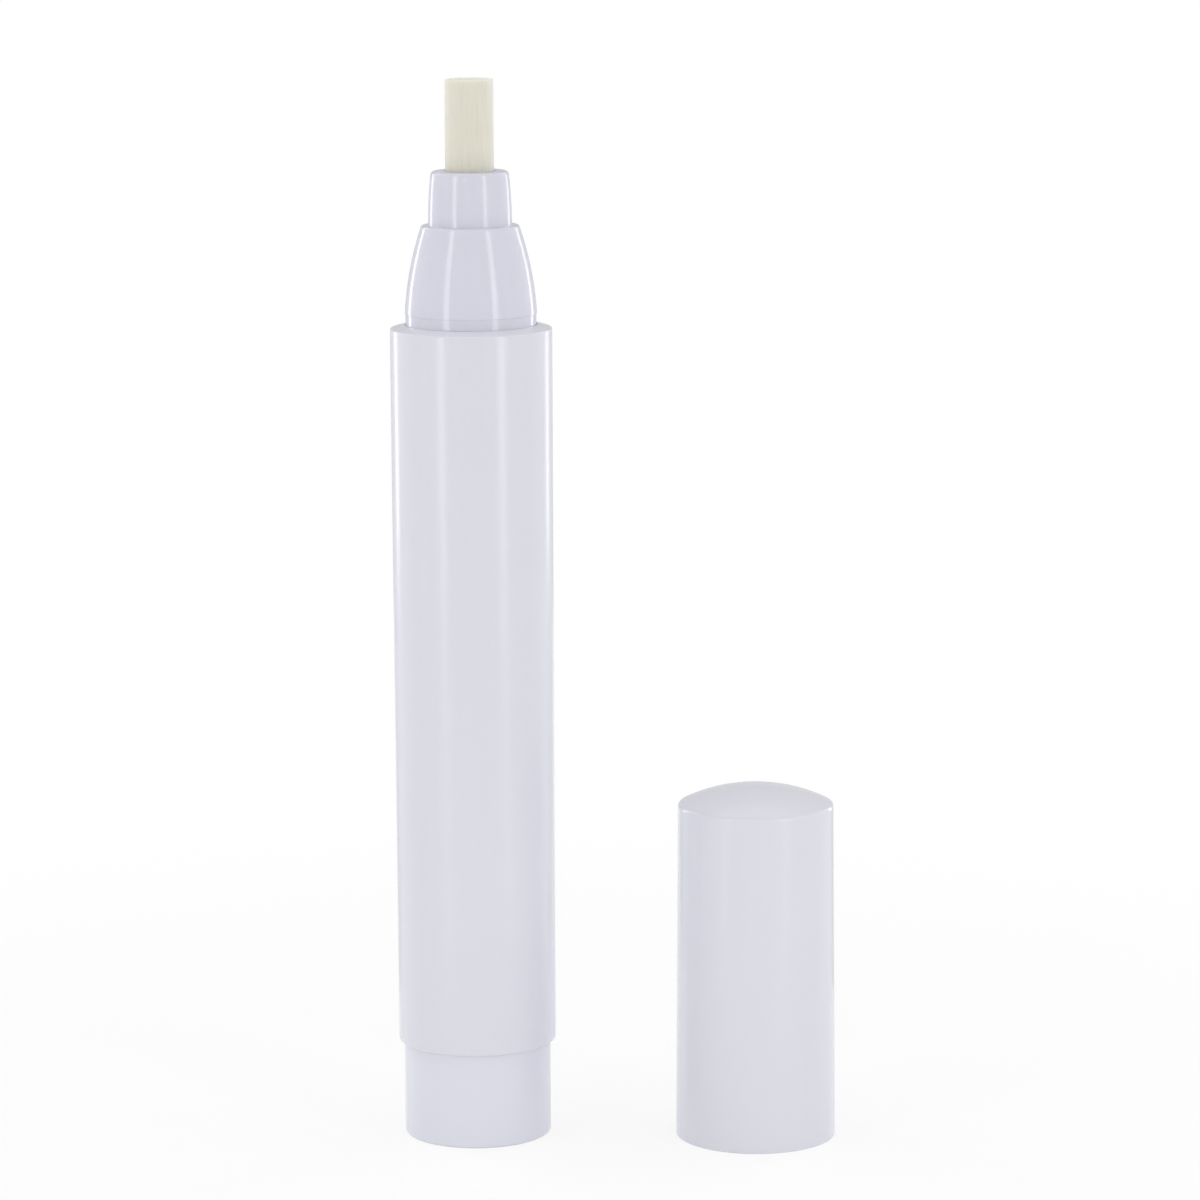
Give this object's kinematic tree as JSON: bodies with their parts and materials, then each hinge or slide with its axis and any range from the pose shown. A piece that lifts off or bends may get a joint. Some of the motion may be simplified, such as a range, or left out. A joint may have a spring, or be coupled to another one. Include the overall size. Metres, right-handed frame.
{
  "type": "felt-tip care pen",
  "caption": "Slim standing applicator pen with a stepped nose, a straight felt nib that is pressed to open a feed valve, and a pull-off cap with an inner sealing cup.",
  "frame": {"origin": "centre of the tail's flat base, on the pen's axis", "axes": "+Z along the pen from its tail to its nib, +X towards the cap that stands beside it"},
  "size_m": [0.044, 0.0177, 0.106],
  "materials": {
    "barrel_plastic": "glossy moulded, cool white",
    "tail_plastic": "glossy moulded, cool white",
    "nose_plastic": "glossy moulded, cool white",
    "cap_plastic": "glossy moulded, cool white",
    "nib_felt": "pressed fibre, fine lengthwise grain",
    "inner_plastic": "natural, unpolished",
    "liner_plastic": "soft natural white",
    "gasket_rubber": "smooth",
    "spring_steel": "drawn wire"
  },
  "bodies": {
    "pen": {"barrel": "barrel_plastic", "tail_plug": "tail_plastic", "nose_cone": "nose_plastic", "valve_gasket": "gasket_rubber", "valve_cage": "inner_plastic", "valve_spring": "spring_steel"},
    "feed": {"nib": "nib_felt", "nib_holder": "inner_plastic", "valve_stem": "inner_plastic"},
    "cap": {"cap_shell": "cap_plastic", "cap_seal_cup": "liner_plastic"}
  },
  "joints": [
    {"name": "nib_press", "type": "slide", "parent": "pen", "child": "feed", "axis": [0, 0, -1], "range_m": [0, 0.0016], "stiffness_N_per_m": 250, "springref_m": -0.004, "deforming": ["valve_spring"]},
    {"name": "cap_lift", "type": "slide", "parent": "pen", "child": "cap", "axis": [0, 0, 1], "range_m": [0, 0.11]}
  ]
}
